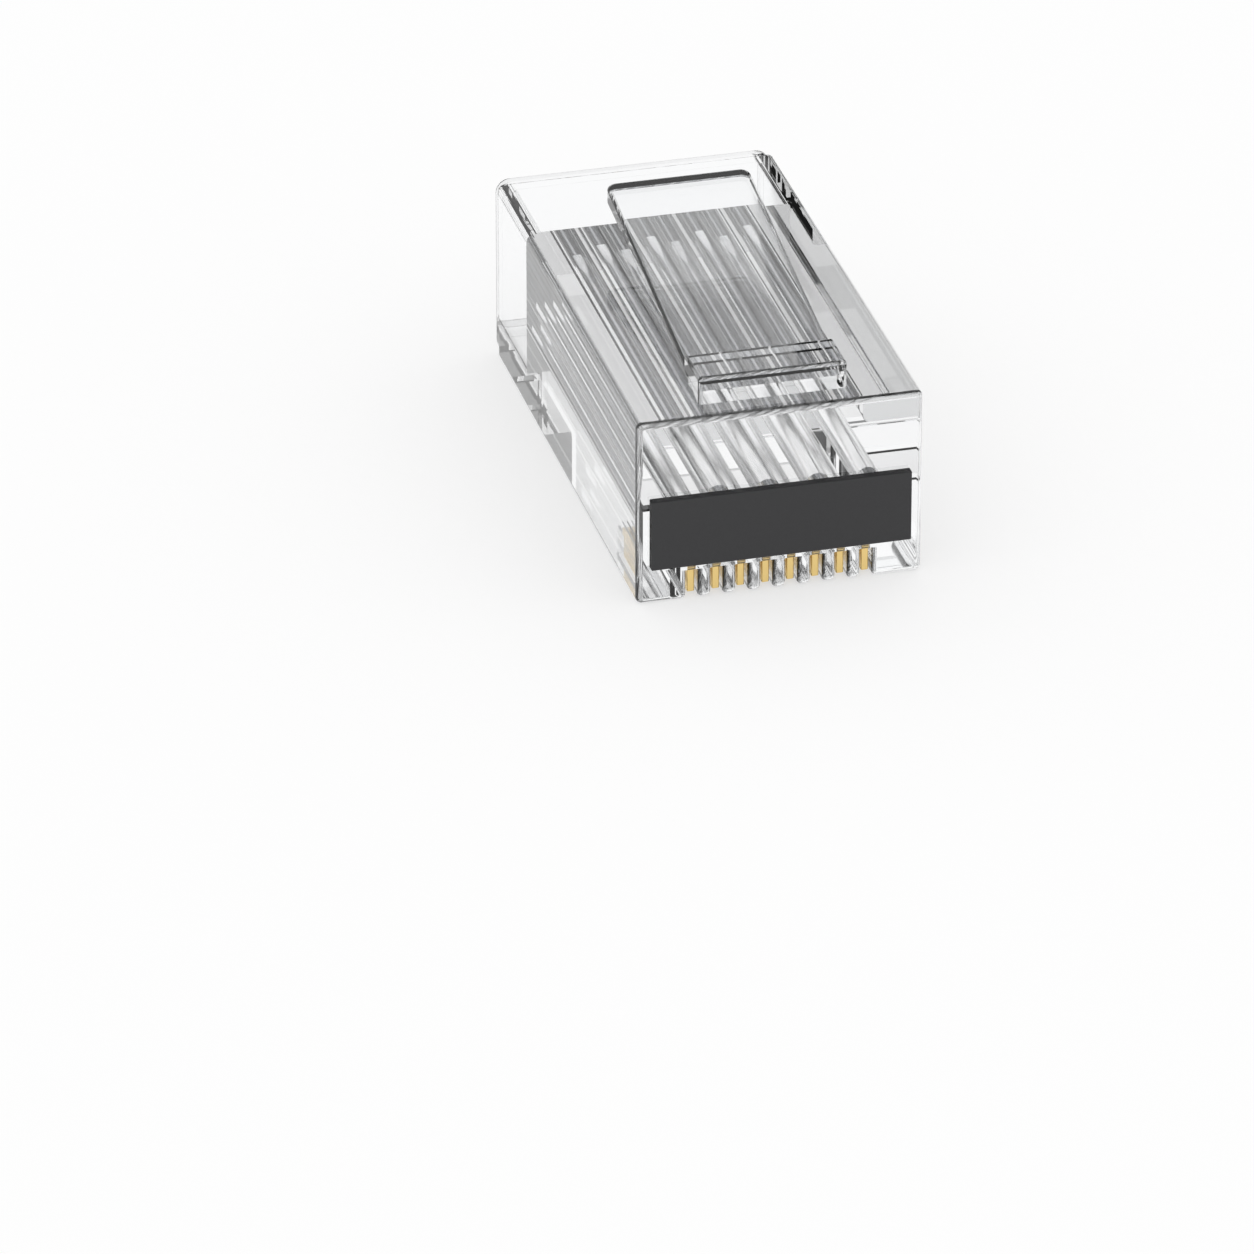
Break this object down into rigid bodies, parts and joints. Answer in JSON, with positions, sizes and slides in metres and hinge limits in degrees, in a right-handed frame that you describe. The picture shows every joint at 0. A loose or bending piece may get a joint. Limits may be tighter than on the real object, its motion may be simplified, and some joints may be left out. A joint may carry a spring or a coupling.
{
  "type": "modular plug",
  "caption": "Clear moulded plug for network cable: gold contact blades in slots under the nose, a dark cap across it, wire channels inside and a sprung latch lever on top.",
  "frame": {"origin": "on the flat contact face, under the middle of the whole part's box", "axes": "+Z from the contact face up to the latch side, +Y from the nose to the cable end, +X across the width, to the right when the nose is seen from the front"},
  "size_m": [0.0116, 0.0234, 0.0107],
  "materials": {
    "clear_shell": "polished clear polycarbonate",
    "dark_cap": "smooth dark grey, matte",
    "gold_contact": "gold-plated, smooth"
  },
  "bodies": {
    "shell": {"housing": "clear_shell", "front_cap": "dark_cap", "contact_1": "gold_contact", "contact_2": "gold_contact", "contact_3": "gold_contact", "contact_4": "gold_contact", "contact_5": "gold_contact", "contact_6": "gold_contact", "contact_7": "gold_contact", "contact_8": "gold_contact"},
    "latch": {"latch": "clear_shell"}
  },
  "joints": [
    {"name": "latch_flex", "type": "hinge", "parent": "shell", "child": "latch", "pos_m": [0, -0.00987, 0.00797], "axis": [-1, 0, 0], "range_deg": [0, 6.5], "stiffness_Nm_per_rad": 0.5}
  ]
}
